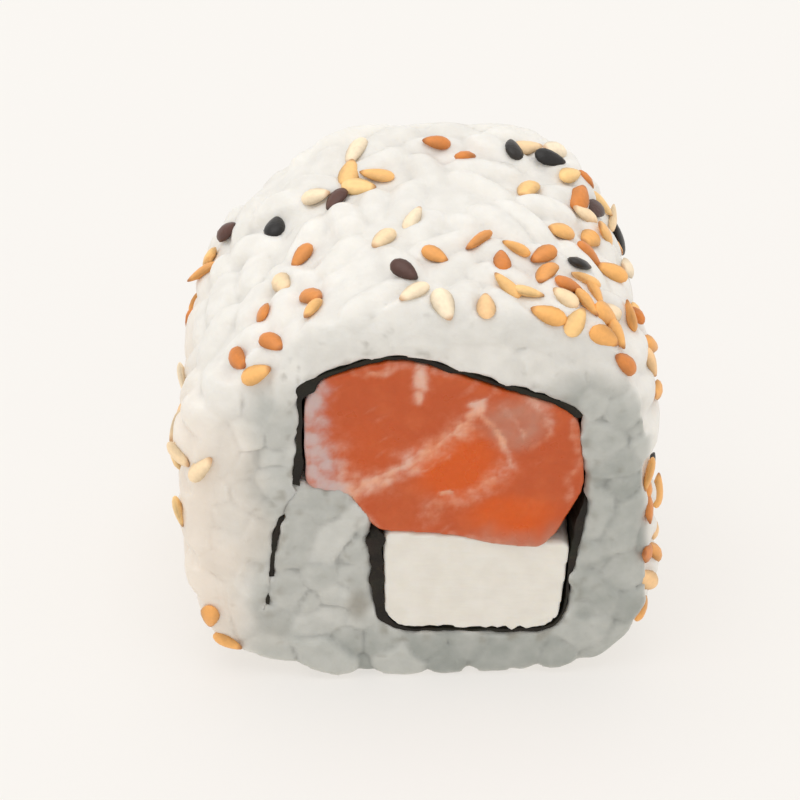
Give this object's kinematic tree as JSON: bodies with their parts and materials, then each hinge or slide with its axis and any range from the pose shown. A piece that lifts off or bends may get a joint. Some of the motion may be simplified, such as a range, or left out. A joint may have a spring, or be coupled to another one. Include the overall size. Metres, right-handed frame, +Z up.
{
  "type": "uramaki roll",
  "caption": "Piece of inside-out sushi roll lying on its side: pressed rice with sesame outside, a seaweed sheet rolled inside around salmon and cream cheese.",
  "frame": {"origin": "middle of the box's base, on the ground the roll lies on", "axes": "+Z up, +Y along the roll's axis with one cut face towards -Y and the other towards +Y, +X across the roll, away from the seaweed's buried tail"},
  "size_m": [0.0374, 0.0286, 0.0347],
  "materials": {
    "rice": "white steamed rice, slightly translucent grains, soft moist sheen",
    "nori": "black-green moist seaweed sheet, satin",
    "salmon": "raw salmon, orange with pale fat lines, moist",
    "cream_cheese": "ivory-white cream cheese, smooth cut, soft sheen",
    "golden_sesame": "toasted sesame, golden to orange brown",
    "pale_sesame": "untoasted sesame, cream",
    "black_sesame": "black sesame, satin"
  },
  "bodies": {
    "root": {"rice": "rice", "nori": "nori", "salmon": "salmon", "cream_cheese": "cream_cheese"}
  },
  "joints": []
}
